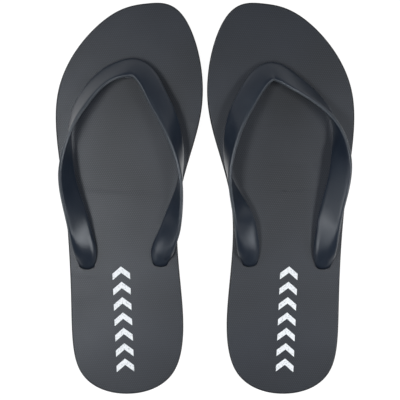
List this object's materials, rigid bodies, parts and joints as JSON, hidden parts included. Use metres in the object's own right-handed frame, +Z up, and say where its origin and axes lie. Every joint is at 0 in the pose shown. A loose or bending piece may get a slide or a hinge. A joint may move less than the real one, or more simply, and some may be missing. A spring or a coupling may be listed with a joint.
{
  "type": "flip flop",
  "caption": "Pair of flip flops with flat laminated soles, a textured footbed, soft V straps held by a toe post and side plugs, and soles that bend at the ball of the foot.",
  "frame": {"origin": "centre of the pair's bounding box at floor level", "axes": "+Y from the heels to the toes, +X from the left sandal to the right one, +Z up"},
  "size_m": [0.214, 0.2803, 0.0535],
  "materials": {
    "outsole": "matt moulded rubber with cross grooves",
    "midsole": "matt closed-cell foam, cut edge",
    "footbed": "matt foam sheet embossed with a fine dot lattice",
    "strap": "satin soft moulded plastic",
    "print": "flat screen-printed ink"
  },
  "bodies": {
    "left_sole_rear": {"left_outsole_rear": "outsole", "left_midsole_rear": "midsole", "left_footbed_rear": "footbed", "left_strap": "strap", "left_heel_print": "print"},
    "left_forefoot": {"left_outsole_front": "outsole", "left_midsole_front": "midsole", "left_footbed_front": "footbed", "left_toe_post": "strap"},
    "right_sole_rear": {"right_outsole_rear": "outsole", "right_midsole_rear": "midsole", "right_footbed_rear": "footbed", "right_strap": "strap", "right_heel_print": "print"},
    "right_forefoot": {"right_outsole_front": "outsole", "right_midsole_front": "midsole", "right_footbed_front": "footbed", "right_toe_post": "strap"}
  },
  "joints": [
    {"name": "left_toe_flex", "type": "hinge", "parent": "left_sole_rear", "child": "left_forefoot", "pos_m": [-0.04999, 0.03784, 0.0155], "axis": [0.9991, -0.0427, 0], "range_deg": [0, 50], "stiffness_Nm_per_rad": 1.2, "deforming": ["left_strap"]},
    {"name": "right_toe_flex", "type": "hinge", "parent": "right_sole_rear", "child": "right_forefoot", "pos_m": [0.04999, 0.03784, 0.0155], "axis": [0.9991, 0.0427, 0], "range_deg": [0, 50], "stiffness_Nm_per_rad": 1.2, "deforming": ["right_strap"]},
    {"name": "pair_spacing", "type": "slide", "parent": "left_sole_rear", "child": "right_sole_rear", "axis": [1, 0, 0], "range_m": [0, 0.25]}
  ]
}
